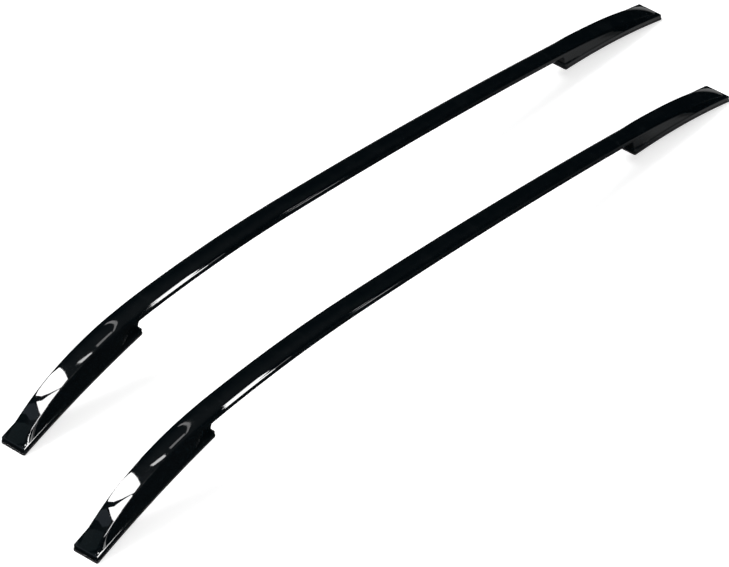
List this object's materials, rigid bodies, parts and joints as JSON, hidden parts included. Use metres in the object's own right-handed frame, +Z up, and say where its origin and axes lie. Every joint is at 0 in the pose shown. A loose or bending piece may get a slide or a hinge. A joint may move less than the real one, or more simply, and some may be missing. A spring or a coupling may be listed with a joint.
{
  "type": "roof side rail pair",
  "caption": "Pair of raised gloss black roof side rails: a hollow bent bar between a steep front foot and a flat rear foot, for carrying crossbars.",
  "frame": {"origin": "middle of the pair's bounding box, on the plane that the four toes stand on", "axes": "+X towards the vehicle's front, +Y towards its left, +Z up"},
  "size_m": [1.9322, 0.3582, 0.1498],
  "materials": {
    "bar_paint": "gloss black paint on extruded aluminium",
    "cover_gloss": "gloss black moulding",
    "cast_metal": "sand cast, lightly blasted",
    "base_rubber": "matt black soft moulding",
    "plated_steel": "zinc plated",
    "peg_nylon": "natural nylon"
  },
  "bodies": {
    "root": {"left_rail_bar": "bar_paint", "left_front_cover": "cover_gloss", "left_rear_cover": "cover_gloss", "left_front_bracket": "cast_metal", "left_rear_bracket": "cast_metal", "left_front_base_pad": "base_rubber", "left_rear_base_pad": "base_rubber", "left_front_inserts": "plated_steel", "left_rear_inserts": "plated_steel", "left_front_peg": "peg_nylon", "left_rear_peg": "peg_nylon", "left_front_bar_screws": "plated_steel", "left_rear_bar_screws": "plated_steel", "left_front_cover_screws": "plated_steel", "left_rear_cover_screws": "plated_steel", "right_rail_bar": "bar_paint", "right_front_cover": "cover_gloss", "right_rear_cover": "cover_gloss", "right_front_bracket": "cast_metal", "right_rear_bracket": "cast_metal", "right_front_base_pad": "base_rubber", "right_rear_base_pad": "base_rubber", "right_front_inserts": "plated_steel", "right_rear_inserts": "plated_steel", "right_front_peg": "peg_nylon", "right_rear_peg": "peg_nylon", "right_front_bar_screws": "plated_steel", "right_rear_bar_screws": "plated_steel", "right_front_cover_screws": "plated_steel", "right_rear_cover_screws": "plated_steel"}
  },
  "joints": []
}
